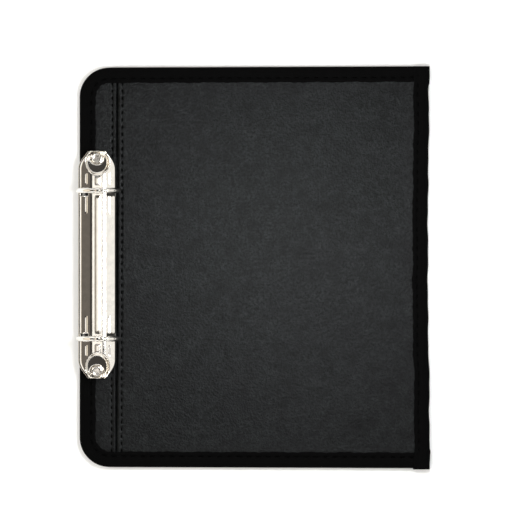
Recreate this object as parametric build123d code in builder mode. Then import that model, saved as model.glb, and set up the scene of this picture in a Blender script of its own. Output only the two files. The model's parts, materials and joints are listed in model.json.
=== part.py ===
from build123d import *
from math import cos, hypot, radians, sin
import os

# Two-ring card binder leaf, in millimetres. A narrow ring strip and a wide cover are cut from stiff board,
# skinned on both faces with leatherette, sewn along a fold and bound with woven tape. A sprung two-ring
# mechanism is riveted to the strip. +X runs from the ring strip to the fore edge, +Y to the head, +Z up.
# The origin is under the middle of the whole leaf, on the surface that it lies on.

# Leaf outline
BOARD_WIDTH = 189.5
BOARD_HEIGHT = 217.0
CORNER_RADIUS = 16.0

# Layers, from the back up: tape, leatherette, stiffener, leatherette, tape
TAPE = 0.4
TAPE_BAND = 8.5
SKIN = 0.6
STIFFENER = 2.0

# Fold: the sewn line that lets the cover lift from the ring strip
FOLD_FROM_EDGE = 20.1
BOARD_BACK_OFF = 2.2
TAPE_BACK_OFF = 1.5
WEB_THICK = 1.0
WEB_GAP = 0.5
FOLD_AXIS_Z = 2.6

# Sewing
THREAD = 0.5
THREAD_PROUD = 0.25
FOLD_STITCH = 2.4
FOLD_PITCH = 3.6
FOLD_ROW = 2.7
TAPE_STITCH = 3.4
TAPE_PITCH = 5.2
TAPE_ROW = 2.4
ROW_END = 3.0

# Ring mechanism, measured from the middle of its base
MECH_FROM_EDGE = 10.1
MECH_Y = 1.4
RING_SPACING = 80.0
RING_RADIUS = 11.0
WIRE_RADIUS = 1.2
RING_HEIGHT = 10.5

# Housing: a drawn steel cover with rolled feet, sloping facets and a raised crown
SHEET = 0.6
HOUSING_HALF = 10.1
HOUSING_LENGTH = 123.0
LIP_HEIGHT = 3.2
FACET_TOP = (4.9, 4.9)
CROWN = (3.6, 6.4)
FOOT_INNER = 8.2
TIP_HALF = 5.0
TIP_TAPER = 7.0
SHOULDER_RADIUS = 6.0
TIP_RADIUS = 1.2
SECTION_RADIUS = 0.8
BEAD_WIDTH = 2.6
BEAD_LENGTH = 74.0
END_BEAD = (3.4, 45.6)
END_BEAD_RADIUS = 0.65
BEAD_PROUD = 0.3
SLOTS = ((9.2, 32.7), (5.6, 46.5))
SLOT_WIDTH = 1.3
SLOT_DEPTH = 0.3
SLOT_X = 6.4
NOTCH_INNER = 5.2
NOTCH_WIDTH = 3.2
NOTCH_FLOOR = 1.5

# End cups, which carry the rivets
CUP_Y = 57.9
CUP_FLOOR_RADIUS = 4.2
CUP_STEP = (7.6, 2.2)
CUP_RIM = (9.3, 6.8)

# Rivets
RIVET_RADIUS = 1.5
RIVET_BORE = 1.0
RIVET_ROLL_RADIUS = 2.5
RIVET_ROLL_HEIGHT = 0.9
RIVET_HEAD_RADIUS = 3.4
FIT = 0.05

# Hinge plates, which pivot at the housing's outer edges
PIVOT = (8.8, 2.1)
PLATE_THICK = 0.8
PLATE_REACH = 8.6
PLATE_LENGTH = 94.0
PLATE_TILT = 10.0
PEG_FROM_PIVOT = 1.6
PEG_RADIUS = 0.8
PEG_HEAD_RADIUS = 1.3
PEG_HEAD = 0.5
TIP_GAP = 0.05
PIN_RADIUS = 0.55
PIN_LENGTH = 0.7
SOCKET_RADIUS = 0.7
SOCKET_DEPTH = 0.9
RING_ARC = 145.0

# Derived levels and places
BACK_Z = TAPE
STIFFENER_Z = BACK_Z + SKIN
FACE_SKIN_Z = STIFFENER_Z + STIFFENER
FACE_Z = FACE_SKIN_Z + SKIN
BASE_Z = FACE_Z + TAPE
RING_OVERHANG = RING_RADIUS + WIRE_RADIUS + TIP_GAP - MECH_FROM_EDGE
LEFT = (RING_OVERHANG - BOARD_WIDTH) / 2
RIGHT = LEFT + BOARD_WIDTH
FOLD_X = LEFT + FOLD_FROM_EDGE
MECH_X = LEFT + MECH_FROM_EDGE
HALF_HEIGHT = BOARD_HEIGHT / 2
INNER_Y = HALF_HEIGHT - TAPE_BAND
FORE_TAPE_X = RIGHT - TAPE_BAND
RING_YS = (MECH_Y + RING_SPACING / 2, MECH_Y - RING_SPACING / 2)
CUP_YS = (MECH_Y + CUP_Y, MECH_Y - CUP_Y)
RIVET_SPOTS = [(MECH_X, y) for y in CUP_YS]
ENDS = ("upper", "lower")
SIDES = (("left", -1), ("right", 1))

# Section plane of the mechanism: local x across the strip, local y up from the housing's base
SECTION = Plane(origin=(MECH_X, MECH_Y, BASE_Z), x_dir=(1, 0, 0), z_dir=(0, -1, 0))
PLAN = Plane(origin=(MECH_X, MECH_Y, BASE_Z))

os.makedirs("parts", exist_ok=True)


def save(builder, label):
    builder.part.label = label
    export_step(builder.part, f"parts/{label}.step")


def strip_outline(inset, right):
    """Ring strip seen from above, with both outer corners rounded, inside the current sketch."""
    left = LEFT + inset
    with Locations(((left + right) / 2, 0)):
        Rectangle(right - left, BOARD_HEIGHT - 2 * inset)
    fillet(vertices().group_by(Axis.X)[0], CORNER_RADIUS - inset)


def cover_outline(left, right, half_height):
    with Locations(((left + right) / 2, 0)):
        Rectangle(right - left, 2 * half_height)


# Layers of the ring strip and of the cover: back leatherette, stiffener and face leatherette

LAYERS = (
    ("back_leatherette", BACK_Z, SKIN),
    ("stiffener", STIFFENER_Z, STIFFENER),
    ("face_leatherette", FACE_SKIN_Z, SKIN),
)

for layer, bottom, thickness in LAYERS:
    with BuildPart() as strip_layer:
        with BuildSketch(Plane.XY.offset(bottom)):
            strip_outline(TAPE, FOLD_X - BOARD_BACK_OFF)
        extrude(amount=thickness)
        with Locations(*RIVET_SPOTS):
            Hole(RIVET_RADIUS + FIT)
    save(strip_layer, f"spine_{layer}")

    with BuildPart() as cover_layer:
        with BuildSketch(Plane.XY.offset(bottom)):
            cover_outline(FOLD_X + BOARD_BACK_OFF, RIGHT - TAPE, HALF_HEIGHT - TAPE)
        extrude(amount=thickness)
    save(cover_layer, f"cover_{layer}")

# Fold webs: the two leatherettes pressed and sewn together, either side of the crease

for body, side in (("spine", -1), ("cover", 1)):
    with BuildPart() as web:
        with BuildSketch(Plane.XY.offset(FOLD_AXIS_Z - WEB_THICK / 2)):
            with Locations((FOLD_X + side * (BOARD_BACK_OFF + WEB_GAP) / 2, 0)):
                Rectangle(BOARD_BACK_OFF - WEB_GAP, BOARD_HEIGHT - 2 * TAPE)
        extrude(amount=WEB_THICK)
    save(web, f"fold_web_{body}")

# Tape round the strip's three free edges, a channel that grips the layers

with BuildPart() as spine_binding:
    tape_end = FOLD_X - TAPE_BACK_OFF
    with BuildSketch(Plane.XY):
        strip_outline(0, tape_end)
    extrude(amount=BASE_Z)
    with BuildSketch(Plane.XY.offset(BACK_Z)):
        strip_outline(TAPE, tape_end)
    extrude(amount=FACE_Z - BACK_Z, mode=Mode.SUBTRACT)
    with BuildSketch(Plane.XY):
        strip_outline(TAPE_BAND, tape_end)
    extrude(amount=BASE_Z, mode=Mode.SUBTRACT)
    with BuildSketch(Plane.XY):
        with Locations(*RIVET_SPOTS):
            Circle(RIVET_HEAD_RADIUS + FIT)
    extrude(amount=BACK_Z, mode=Mode.SUBTRACT)
save(spine_binding, "spine_edge_binding")

# Tape along the cover's head and tail, open towards the cover's middle

for label, side in (("cover_binding_head", 1), ("cover_binding_tail", -1)):
    with BuildPart() as edge_binding:
        with BuildSketch(Plane.YZ.offset(FOLD_X + TAPE_BACK_OFF)):
            with Locations((side * (HALF_HEIGHT - TAPE_BAND / 2), BASE_Z / 2)):
                Rectangle(TAPE_BAND, BASE_Z)
            with Locations((side * (INNER_Y + (TAPE_BAND - TAPE) / 2), BASE_Z / 2)):
                Rectangle(TAPE_BAND - TAPE, FACE_Z - BACK_Z, mode=Mode.SUBTRACT)
        extrude(amount=FORE_TAPE_X - FOLD_X - TAPE_BACK_OFF)
    save(edge_binding, label)

# Fore-edge tape, sewn on last, with its ends folded in over both corners

with BuildPart() as fore_binding:
    with BuildSketch(Plane.XY):
        cover_outline(FORE_TAPE_X, RIGHT, HALF_HEIGHT)
    extrude(amount=BASE_Z)
    with BuildSketch(Plane.XY.offset(BACK_Z)):
        cover_outline(FORE_TAPE_X, RIGHT - TAPE, HALF_HEIGHT - TAPE)
    extrude(amount=FACE_Z - BACK_Z, mode=Mode.SUBTRACT)
save(fore_binding, "fore_edge_binding")


# Sewing: each stitch is a short length of thread that lies on the face between two needle holes


def row(start, end, pitch):
    """Middles of the stitches in a straight row, centred between two places."""
    count = max(1, int((end - start) // pitch))
    first = (start + end) / 2 - (count - 1) * pitch / 2
    return [first + i * pitch for i in range(count)]


def stitches(label, level, length, runs):
    """Stitches at the spots of each run; a run is its spots and the angle that it is sewn at."""
    with BuildPart() as sewing:
        for spots, angle in runs:
            with BuildSketch(Plane.XY.offset(level)):
                with Locations(*spots):
                    SlotOverall(length, THREAD, rotation=angle)
            extrude(amount=THREAD_PROUD)
    save(sewing, label)


fold_ys = row(ROW_END - INNER_Y, INNER_Y - ROW_END, FOLD_PITCH)
for body, side in (("spine", -1), ("cover", 1)):
    spots = [(FOLD_X + side * FOLD_ROW, y) for y in fold_ys]
    stitches(f"{body}_fold_stitches", FACE_Z, FOLD_STITCH, [(spots, 90)])

row_y = INNER_Y + TAPE_ROW
row_left_x = LEFT + TAPE_BAND - TAPE_ROW
strip_xs = row(LEFT + CORNER_RADIUS, FOLD_X - ROW_END, TAPE_PITCH)
strip_edge_ys = row(MECH_Y + HOUSING_LENGTH / 2, HALF_HEIGHT - CORNER_RADIUS, TAPE_PITCH)
spine_runs = [
    ([(x, side * row_y) for x in strip_xs for side in (1, -1)], 0),
    ([(row_left_x, y) for y in strip_edge_ys], 90),
    ([(row_left_x, -y) for y in strip_edge_ys], 90),
]
stitches("spine_binding_stitches", BASE_Z, TAPE_STITCH, spine_runs)

cover_xs = row(FOLD_X + ROW_END, FORE_TAPE_X - TAPE_ROW, TAPE_PITCH)
fore_ys = row(-row_y, row_y, TAPE_PITCH)
cover_runs = [
    ([(x, side * row_y) for x in cover_xs for side in (1, -1)], 0),
    ([(FORE_TAPE_X + TAPE_ROW, y) for y in fore_ys], 90),
]
stitches("cover_binding_stitches", BASE_Z, TAPE_STITCH, cover_runs)


# Ring housing


def housing_section():
    """Outside of the housing across the strip: lips, facets and crown, inside the current sketch."""
    right_half = [(HOUSING_HALF, 0), (HOUSING_HALF, LIP_HEIGHT), FACET_TOP, CROWN]
    left_half = [(-x, y) for x, y in reversed(right_half)]
    with BuildLine() as outline:
        Polyline(*right_half, *left_half, close=True)
    make_face(outline.edges())
    fillet(vertices().filter_by(lambda v: v.Y > LIP_HEIGHT / 2), SECTION_RADIUS)


def housing_plan(inset):
    """Housing seen from above: straight sides that taper to a narrow tip at each end."""
    half_length = HOUSING_LENGTH / 2 - inset
    shoulder = HOUSING_LENGTH / 2 - TIP_TAPER
    side = HOUSING_HALF - inset
    tip = TIP_HALF - inset
    corner = [(side, shoulder), (tip, half_length)]
    mirrored = [(-x, y) for x, y in reversed(corner)]
    head = corner + mirrored
    tail = [(-x, -y) for x, y in head]
    with BuildLine() as outline:
        Polyline(*head, *tail, close=True)
    make_face(outline.edges())
    fillet(vertices().filter_by(lambda v: abs(v.Y) < half_length - TIP_RADIUS), SHOULDER_RADIUS)
    fillet(vertices().filter_by(lambda v: abs(v.Y) > half_length - TIP_RADIUS), TIP_RADIUS)


def cup_profile(grow):
    """Half section of an end cup's bowl; grow thickens it by the sheet on its outside."""
    floor = SHEET - grow
    return [
        (0, floor),
        (CUP_FLOOR_RADIUS + grow / 2, floor),
        (CUP_STEP[0] + grow / 2, CUP_STEP[1] - grow),
        (CUP_RIM[0] + grow, CUP_RIM[1]),
        (0, CUP_RIM[1]),
    ]


def upright(y):
    """Section plane through a place on the mechanism's middle line, for what is turned about a rivet."""
    return Plane(origin=(MECH_X, y, BASE_Z), x_dir=(1, 0, 0), z_dir=(0, -1, 0))


with BuildPart() as envelope:
    with BuildSketch(SECTION):
        housing_section()
    extrude(amount=HOUSING_LENGTH / 2, both=True)
    with BuildSketch(PLAN):
        housing_plan(0)
    extrude(amount=BASE_Z + CROWN[1], mode=Mode.INTERSECT)

with BuildPart() as hollow:
    with BuildSketch(SECTION):
        housing_section()
        offset(amount=-SHEET)
        with Locations((0, SHEET)):
            Rectangle(2 * FOOT_INNER, 2 * SHEET)
    extrude(amount=HOUSING_LENGTH / 2, both=True)
    with BuildSketch(PLAN.offset(-SHEET)):
        housing_plan(SHEET)
    extrude(amount=BASE_Z + CROWN[1], mode=Mode.INTERSECT)

with BuildPart() as cup_walls:
    for y in CUP_YS:
        with BuildSketch(upright(y)):
            with BuildLine():
                Polyline(*cup_profile(SHEET), close=True)
            make_face()
        revolve(axis=Axis((MECH_X, y, 0), (0, 0, 1)))
    add(envelope.part, mode=Mode.INTERSECT)

with BuildPart() as cup_bowls:
    for y in CUP_YS:
        with BuildSketch(upright(y)):
            with BuildLine():
                Polyline(*cup_profile(0), close=True)
            make_face()
        revolve(axis=Axis((MECH_X, y, 0), (0, 0, 1)))

with BuildPart() as housing:
    add(envelope.part)
    add(hollow.part, mode=Mode.SUBTRACT)
    add(cup_walls.part)
    add(cup_bowls.part, mode=Mode.SUBTRACT)
    with Locations(*RIVET_SPOTS):
        Hole(RIVET_RADIUS + FIT)
    # Open notches that the ring wires rise through
    notch = HOUSING_HALF - NOTCH_INNER + SHEET
    for y in RING_YS:
        for _, side in SIDES:
            middle = (MECH_X + side * (NOTCH_INNER + notch / 2), y, BASE_Z + NOTCH_FLOOR + CROWN[1] / 2)
            with Locations(middle):
                Box(notch, NOTCH_WIDTH, CROWN[1], mode=Mode.SUBTRACT)
    # Raised beads that stiffen the crown
    with BuildSketch(PLAN.offset(CROWN[1])):
        SlotOverall(BEAD_LENGTH, BEAD_WIDTH, rotation=90)
        with Locations((0, END_BEAD[1]), (0, -END_BEAD[1])):
            RectangleRounded(BEAD_WIDTH, END_BEAD[0], END_BEAD_RADIUS)
    extrude(amount=BEAD_PROUD)
    # Pressed slots in both facets
    rise = FACET_TOP[1] - LIP_HEIGHT
    run = HOUSING_HALF - FACET_TOP[0]
    slot_z = LIP_HEIGHT + rise * (HOUSING_HALF - SLOT_X) / run
    for _, side in SIDES:
        facet = Plane(
            origin=(MECH_X + side * SLOT_X, MECH_Y, BASE_Z + slot_z),
            x_dir=(0, 1, 0),
            z_dir=(side * rise / hypot(rise, run), 0, run / hypot(rise, run)),
        )
        with BuildSketch(facet):
            for length, place in SLOTS:
                with Locations((place, 0), (-place, 0)):
                    Rectangle(length, SLOT_WIDTH)
        extrude(amount=-SLOT_DEPTH, mode=Mode.SUBTRACT)
save(housing, "ring_housing")

# Tubular rivets: a flat head on the back, a hollow shank and a rolled rim in the housing's cup

ROLL_Z = BASE_Z + SHEET + RIVET_ROLL_HEIGHT
for end, y in zip(ENDS, CUP_YS):
    with BuildPart() as rivet:
        with BuildSketch(Plane(origin=(MECH_X, y, 0), x_dir=(1, 0, 0), z_dir=(0, -1, 0))):
            with BuildLine():
                Polyline(
                    (0, 0),
                    (RIVET_HEAD_RADIUS, 0),
                    (RIVET_HEAD_RADIUS, BACK_Z),
                    (RIVET_RADIUS, BACK_Z),
                    (RIVET_RADIUS, BASE_Z + SHEET),
                    (RIVET_ROLL_RADIUS, BASE_Z + SHEET),
                    (RIVET_ROLL_RADIUS, ROLL_Z),
                    (RIVET_BORE, ROLL_Z),
                    (RIVET_BORE, STIFFENER_Z),
                    (0, STIFFENER_Z),
                    close=True,
                )
            make_face()
            fillet(vertices().group_by(Axis.Y)[-1], RIVET_ROLL_HEIGHT / 2)
        revolve(axis=Axis((MECH_X, y, 0), (0, 0, 1)))
    save(rivet, f"rivet_{end}")

# Hinge plates and the half rings staked to them. Closed, both plates dip towards the middle of the housing.

TILT = radians(PLATE_TILT)


def plate_frame(side, distance, lift):
    """Plane on a hinge plate, its normal the plate's own upward one, at a distance in from the pivot."""
    along = (-side * cos(TILT), -sin(TILT))
    up = (-side * sin(TILT), cos(TILT))
    x = MECH_X + side * PIVOT[0] + distance * along[0] + lift * up[0]
    z = BASE_Z + PIVOT[1] + distance * along[1] + lift * up[1]
    return Plane(origin=(x, MECH_Y, z), x_dir=(0, 1, 0), z_dir=(up[0], 0, up[1]))


for name, side in SIDES:
    with BuildPart() as plate:
        with BuildSketch(SECTION):
            with Locations((side * PIVOT[0], PIVOT[1])):
                Circle(PLATE_THICK / 2)
                Rectangle(
                    PLATE_REACH,
                    PLATE_THICK,
                    rotation=side * PLATE_TILT,
                    align=(Align.MAX if side > 0 else Align.MIN, Align.CENTER),
                )
        extrude(amount=PLATE_LENGTH / 2, both=True)
        with BuildSketch(plate_frame(side, PEG_FROM_PIVOT, PLATE_THICK)):
            with Locations((RING_SPACING / 2, 0), (-RING_SPACING / 2, 0)):
                Circle(PEG_RADIUS + FIT)
        extrude(amount=-2 * PLATE_THICK, mode=Mode.SUBTRACT)
    save(plate, f"hinge_plate_{name}")

    for end, y in zip(ENDS, RING_YS):
        with BuildPart() as half_ring:
            tip = Plane(
                origin=(MECH_X + side * TIP_GAP, y, BASE_Z + RING_HEIGHT + RING_RADIUS),
                x_dir=(0, side, 0),
                z_dir=(side, 0, 0),
            )
            with BuildSketch(tip):
                Circle(WIRE_RADIUS)
            revolve(
                axis=Axis((MECH_X + side * TIP_GAP, y, BASE_Z + RING_HEIGHT), (0, side, 0)),
                revolution_arc=RING_ARC,
            )
            foot = plate_frame(side, 0, PLATE_THICK / 2)
            split(bisect_by=foot, keep=Keep.TOP)
            with BuildSketch(plate_frame(side, PEG_FROM_PIVOT, PLATE_THICK / 2)):
                with Locations((y - MECH_Y, 0)):
                    Circle(PEG_RADIUS)
            extrude(amount=-PLATE_THICK)
            with BuildSketch(plate_frame(side, PEG_FROM_PIVOT, -PLATE_THICK / 2)):
                with Locations((y - MECH_Y, 0)):
                    Circle(PEG_HEAD_RADIUS)
            extrude(amount=-PEG_HEAD)
            # The left tip carries a pin that enters a socket in the right tip
            if side < 0:
                with BuildSketch(tip):
                    Circle(PIN_RADIUS)
                extrude(amount=-PIN_LENGTH)
            else:
                with BuildSketch(tip):
                    Circle(SOCKET_RADIUS)
                extrude(amount=SOCKET_DEPTH, mode=Mode.SUBTRACT)
        save(half_ring, f"half_ring_{name}_{end}")
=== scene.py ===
import json
import math

import bmesh
import bpy
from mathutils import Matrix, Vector


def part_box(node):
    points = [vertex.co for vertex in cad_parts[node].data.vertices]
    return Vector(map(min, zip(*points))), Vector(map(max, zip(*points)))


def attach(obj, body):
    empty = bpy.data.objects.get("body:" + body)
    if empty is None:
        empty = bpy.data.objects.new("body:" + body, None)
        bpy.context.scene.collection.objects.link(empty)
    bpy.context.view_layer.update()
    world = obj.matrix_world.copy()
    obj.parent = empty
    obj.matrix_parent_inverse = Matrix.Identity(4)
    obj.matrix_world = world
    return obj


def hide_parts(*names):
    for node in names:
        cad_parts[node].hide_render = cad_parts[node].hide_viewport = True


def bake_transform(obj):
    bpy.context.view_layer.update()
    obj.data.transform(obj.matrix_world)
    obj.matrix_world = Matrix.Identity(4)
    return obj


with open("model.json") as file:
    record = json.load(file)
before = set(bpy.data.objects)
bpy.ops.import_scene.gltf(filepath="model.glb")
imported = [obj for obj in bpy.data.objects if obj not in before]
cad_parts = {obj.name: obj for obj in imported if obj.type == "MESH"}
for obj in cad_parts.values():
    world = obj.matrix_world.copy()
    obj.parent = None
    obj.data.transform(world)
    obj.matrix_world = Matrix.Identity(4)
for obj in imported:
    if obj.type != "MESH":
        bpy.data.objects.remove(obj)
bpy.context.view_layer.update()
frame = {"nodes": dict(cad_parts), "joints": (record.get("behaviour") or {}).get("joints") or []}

bl_info = {
    "name": "Ring binder leaf",
    "version": (1, 0, 0),
    "blender": (4, 5, 0),
    "location": "3D View > Sidebar > Binder",
    "description": "Leatherette, tape, sewing and nickel ring mechanism for a two-ring card binder",
    "category": "Object",
}

MM = 0.001
TAU = 2 * math.pi


# Places taken from the CAD frame, in metres


def corner(name, end, axis):
    """One coordinate of a CAD node's box, at its low end (0) or its high end (1)."""
    return float(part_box(name)[end]["xyz".index(axis)])


def middle(name, axis):
    return (corner(name, 0, axis) + corner(name, 1, axis)) / 2


def joint(name):
    return next(j for j in frame["joints"] if j["name"] == name)


ENDS = ("upper", "lower")
LEFT = corner("spine_edge_binding", 0, "x")
RIGHT = corner("fore_edge_binding", 1, "x")
FORE_X = corner("fore_edge_binding", 0, "x")
HALF = corner("fore_edge_binding", 1, "y")
BAND = RIGHT - FORE_X
TOP_Z = corner("spine_edge_binding", 1, "z")
FACE_Z = corner("cover_face_leatherette", 1, "z")
SKIN = FACE_Z - corner("cover_face_leatherette", 0, "z")
BACK_Z = corner("cover_back_leatherette", 0, "z")
FOLD_X, _, FOLD_Z = joint("cover_fold")["pos_m"]
MECH_X, MECH_Y = middle("ring_housing", "x"), middle("ring_housing", "y")
BASE_Z = corner("ring_housing", 0, "z")
HOUSING_HALF_X = corner("ring_housing", 1, "x") - MECH_X
HOUSING_HALF_Y = corner("ring_housing", 1, "y") - MECH_Y
RING_YS = {end: middle(f"half_ring_left_{end}", "y") for end in ENDS}
RIVET_YS = {end: middle(f"rivet_{end}", "y") for end in ENDS}
RING_OUTER_X = corner("half_ring_left_upper", 0, "x")
RING_TOP = corner("half_ring_left_upper", 1, "z")


# Settings


def linear(value):
    """An sRGB hex colour as linear RGBA."""
    channels = [int(value[i : i + 2], 16) / 255 for i in (1, 3, 5)]
    low = [c / 12.92 if c <= 0.04045 else ((c + 0.055) / 1.055) ** 2.4 for c in channels]
    return (*low, 1.0)


def length(name, value, description):
    """A length given in millimetres, shown in the scene's unit."""
    return bpy.props.FloatProperty(
        name=name, description=description, default=value * MM, min=0, unit="LENGTH", precision=5
    )


def colour(name, value, description):
    return bpy.props.FloatVectorProperty(
        name=name, description=description, default=linear(value),
        size=4, min=0, max=1, subtype="COLOR",
    )


class BinderLeafSettings(bpy.types.PropertyGroup):
    corner_radius: length("Corner radius", 16.0, "Rounding of the ring strip's outer corners")
    flare: length("Fore-edge flare", 1.15, "How much further out the tape stands at the fore edge")
    tape_thickness: length("Tape thickness", 0.4, "Thickness of the woven binding tape")
    tape_puff: length("Tape puff", 0.28, "How far the tape swells between its sewing and its edge")
    tape_row: length("Tape row", 2.4, "Distance of the sewing from the tape's inner edge")
    tape_pitch: length("Tape pitch", 5.2, "Spacing of the stitches that hold the tape")
    fold_row: length("Fold row", 2.7, "Distance of each row of sewing from the middle of the fold")
    fold_pitch: length("Fold pitch", 3.9, "Spacing of the stitches along the fold")
    groove_depth: length("Groove depth", 1.3, "Depth of the crease in the face")
    thread: length("Thread", 0.76, "Thickness of the sewing thread")
    leatherette: colour("Leatherette", "#070808", "Colour of the embossed skin")
    tape: colour("Tape", "#050505", "Colour of the woven tape")
    thread_colour: colour("Thread colour", "#020202", "Colour of the sewing thread")
    board: colour("Board", "#8D8577", "Colour of the stiffener board")


class BinderMetalSettings(bpy.types.PropertyGroup):
    sheet: length("Sheet", 0.6, "Thickness of the housing's steel sheet")
    lip: length("Lip height", 4.1, "Height of the housing's side walls above its base")
    facet_in: length("Facet inner edge", 4.9, "Distance of a facet's top from the middle line")
    facet_top: length("Facet top", 5.9, "Height of a facet's top above the base")
    crown_half: length("Crown half width", 3.5, "Half the width of the raised crown")
    crown: length("Crown height", 6.4, "Height of the crown above the base")
    wire: length("Wire radius", 1.3, "Radius of the ring wire")
    nickel: colour("Nickel", "#E6E2DB", "Colour of the nickel plating")
    steel: colour("Plain steel", "#5C5A56", "Colour of the hinge plates under the housing")


# Helpers for meshes


def piece(name, verts, faces, slot, look, sharp=40.0):
    """A mesh object at the origin, faces outward, smooth but for edges sharper than an angle."""
    mesh = bpy.data.meshes.new(name)
    mesh.from_pydata(verts, [], faces)
    shell = bmesh.new()
    shell.from_mesh(mesh)
    bmesh.ops.recalc_face_normals(shell, faces=shell.faces)
    shell.to_mesh(mesh)
    shell.free()
    mesh.shade_smooth()
    mesh.set_sharp_from_angle(angle=math.radians(sharp))
    mesh.materials.append(look)
    obj = bpy.data.objects.new(name, mesh)
    bpy.context.scene.collection.objects.link(obj)
    return obj


def grid(rows, columns, wrap=False, first=0):
    """Quads over vertices stored row by row; wrap joins the last column to the first."""
    faces = []
    for i in range(rows - 1):
        for j in range(columns if wrap else columns - 1):
            a, b = first + i * columns + j, first + i * columns + (j + 1) % columns
            faces.append((a, b, b + columns, a + columns))
    return faces


def slab(rows):
    """Vertices and faces of a closed sheet, from rows of (x, y, top, bottom)."""
    count, width = len(rows), len(rows[0])
    verts = [(x, y, top) for row in rows for x, y, top, bottom in row]
    verts += [(x, y, bottom) for row in rows for x, y, top, bottom in row]
    under = count * width
    faces = grid(count, width) + [f[::-1] for f in grid(count, width, first=under)]
    rim = list(range(width))
    rim += [i * width + width - 1 for i in range(1, count)]
    rim += [(count - 1) * width + j for j in range(width - 2, -1, -1)]
    rim += [i * width for i in range(count - 2, 0, -1)]
    for a, b in zip(rim, rim[1:] + rim[:1]):
        faces.append((a, a + under, b + under, b))
    return verts, faces


def tube(stations):
    """Vertices and faces of a closed sweep, from equal loops of points, capped at both ends."""
    count, width = len(stations), len(stations[0])
    verts = [p for loop in stations for p in loop]
    caps = [tuple(range(width)), tuple(range((count - 1) * width, count * width))]
    return verts, grid(count, width, wrap=True) + caps


def lathe(profile, x, y, segments=56):
    """A turned shape from (radius, z) points, about the upright line through x, y."""
    turns = [TAU * k / segments for k in range(segments)]
    loops = [[(x + r * math.cos(t), y + r * math.sin(t), z) for t in turns] for r, z in profile]
    return tube(loops)


def steps(start, end, step):
    """Evenly spaced values from start to end, no further apart than a step."""
    count = max(1, math.ceil(abs(end - start) / step - 1e-6))
    return [start + (end - start) * i / count for i in range(count + 1)]


def bell(value, centre, width):
    return math.exp(-(((value - centre) / width) ** 2))


def ease(value, start, end):
    t = min(1.0, max(0.0, (value - start) / (end - start)))
    return t * t * (3 - 2 * t)


def smooth_min(a, b, k):
    h = max(0.0, 1 - abs(a - b) / k)
    return min(a, b) - h * h * k / 4


def smooth_max(a, b, k):
    return -smooth_min(-a, -b, k)


# Materials

# A wave texture's scale for bands one metre apart; divided by a spacing, it sets that spacing
BANDS = 0.314
FINISHES = {}


def finish(name, make, *args):
    """A material by name, made the first time that it is asked for."""
    if name not in FINISHES:
        FINISHES[name] = make(*args)
    return FINISHES[name]


def node(tree, kind, inputs=None, out=None, **settings):
    """Adds a node with its settings and its inputs' values or links; returns it or an output."""
    added = tree.nodes.new(kind)
    for key, value in settings.items():
        setattr(added, key, value)
    for key, value in (inputs or {}).items():
        if isinstance(value, bpy.types.NodeSocket):
            tree.links.new(value, added.inputs[key])
        else:
            added.inputs[key].default_value = value
    return added if out is None else added.outputs[out]


def material(name, **surface):
    """A new material with its Principled shader's own sockets set, and its tree."""
    made = bpy.data.materials.new(name)
    made.use_nodes = True
    shader = made.node_tree.nodes["Principled BSDF"]
    for key, value in surface.items():
        shader.inputs[key.replace("_", " ")].default_value = value
    return made, made.node_tree


def worked(made, **patterns):
    """The material with patterns linked to its shader's inputs."""
    shader = made.node_tree.nodes["Principled BSDF"]
    for key, value in patterns.items():
        made.node_tree.links.new(value, shader.inputs[key.replace("_", " ")])
    return made


def shade(rgba, gain):
    return tuple(min(1.0, c * gain) for c in rgba[:3]) + (1.0,)


def graded(tree, pattern, first, last, low=0.0, high=1.0):
    """Colour that goes from first to last as a pattern rises from low to high."""
    part = node(
        tree, "ShaderNodeMapRange", {"Value": pattern, "From Min": low, "From Max": high},
        out="Result", clamp=True,
    )
    return node(tree, "ShaderNodeMix", {0: part, 6: first, 7: last}, out=2, data_type="RGBA")


def leatherette_material(settings):
    """PVC leatherette, calender-embossed with a fine hide grain: satin black, painted shade in its
    pits, painted sheen on handled patches.
    """
    made, tree = material("Embossed PVC leatherette", IOR=1.5, Specular_IOR_Level=0.14)
    place = node(tree, "ShaderNodeTexCoord", out="Object")
    pebble = node(
        tree, "ShaderNodeTexVoronoi",
        {"Vector": place, "Scale": 1 / (0.9 * MM), "Randomness": 1.0},
        out="Distance", feature="SMOOTH_F1",
    )
    # The grain is drawn a little coarser than the real one, so that it shows
    grain = node(
        tree, "ShaderNodeTexNoise",
        {
            "Vector": place, "Scale": 1 / (1.3 * MM), "Detail": 5.0, "Roughness": 0.62,
            "Distortion": 0.4,
        },
        out="Fac",
    )
    cloud = node(
        tree, "ShaderNodeTexNoise",
        {"Vector": place, "Scale": 1 / (26 * MM), "Detail": 4.0, "Roughness": 0.6}, out="Fac",
    )
    sheen_patches = node(
        tree, "ShaderNodeTexNoise",
        {"Vector": place, "Scale": 1 / (6 * MM), "Detail": 6.0, "Roughness": 0.75}, out="Fac",
    )
    base = settings.leatherette
    dull = graded(tree, cloud, shade(base, 0.1), shade(base, 0.9), 0.3, 0.7)
    # Painted sheen: 6 mm patches where hands have polished the skin are lightened up to 5.5 times
    # the colour, standing in for their stronger gloss
    worn_sheen = graded(tree, sheen_patches, dull, shade(base, 5.5), 0.35, 0.65)
    # Painted shade: the grain's low pits, sunk by the bump, are darkened to 0.3 of the colour
    pit_shade = graded(tree, grain, shade(base, 0.3), worn_sheen, 0.35, 0.65)
    rough = node(
        tree, "ShaderNodeMapRange",
        {"Value": grain, "From Min": 0.3, "From Max": 0.7, "To Min": 0.52, "To Max": 0.32},
        out="Result",
    )
    fine = node(
        tree, "ShaderNodeBump", {"Height": pebble, "Strength": 0.5, "Distance": 0.15 * MM},
        out="Normal",
    )
    coarse = node(
        tree, "ShaderNodeBump",
        {"Height": grain, "Strength": 0.8, "Distance": 0.42 * MM, "Normal": fine}, out="Normal",
    )
    return worked(made, Base_Color=pit_shade, Roughness=rough, Normal=coarse)


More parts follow.
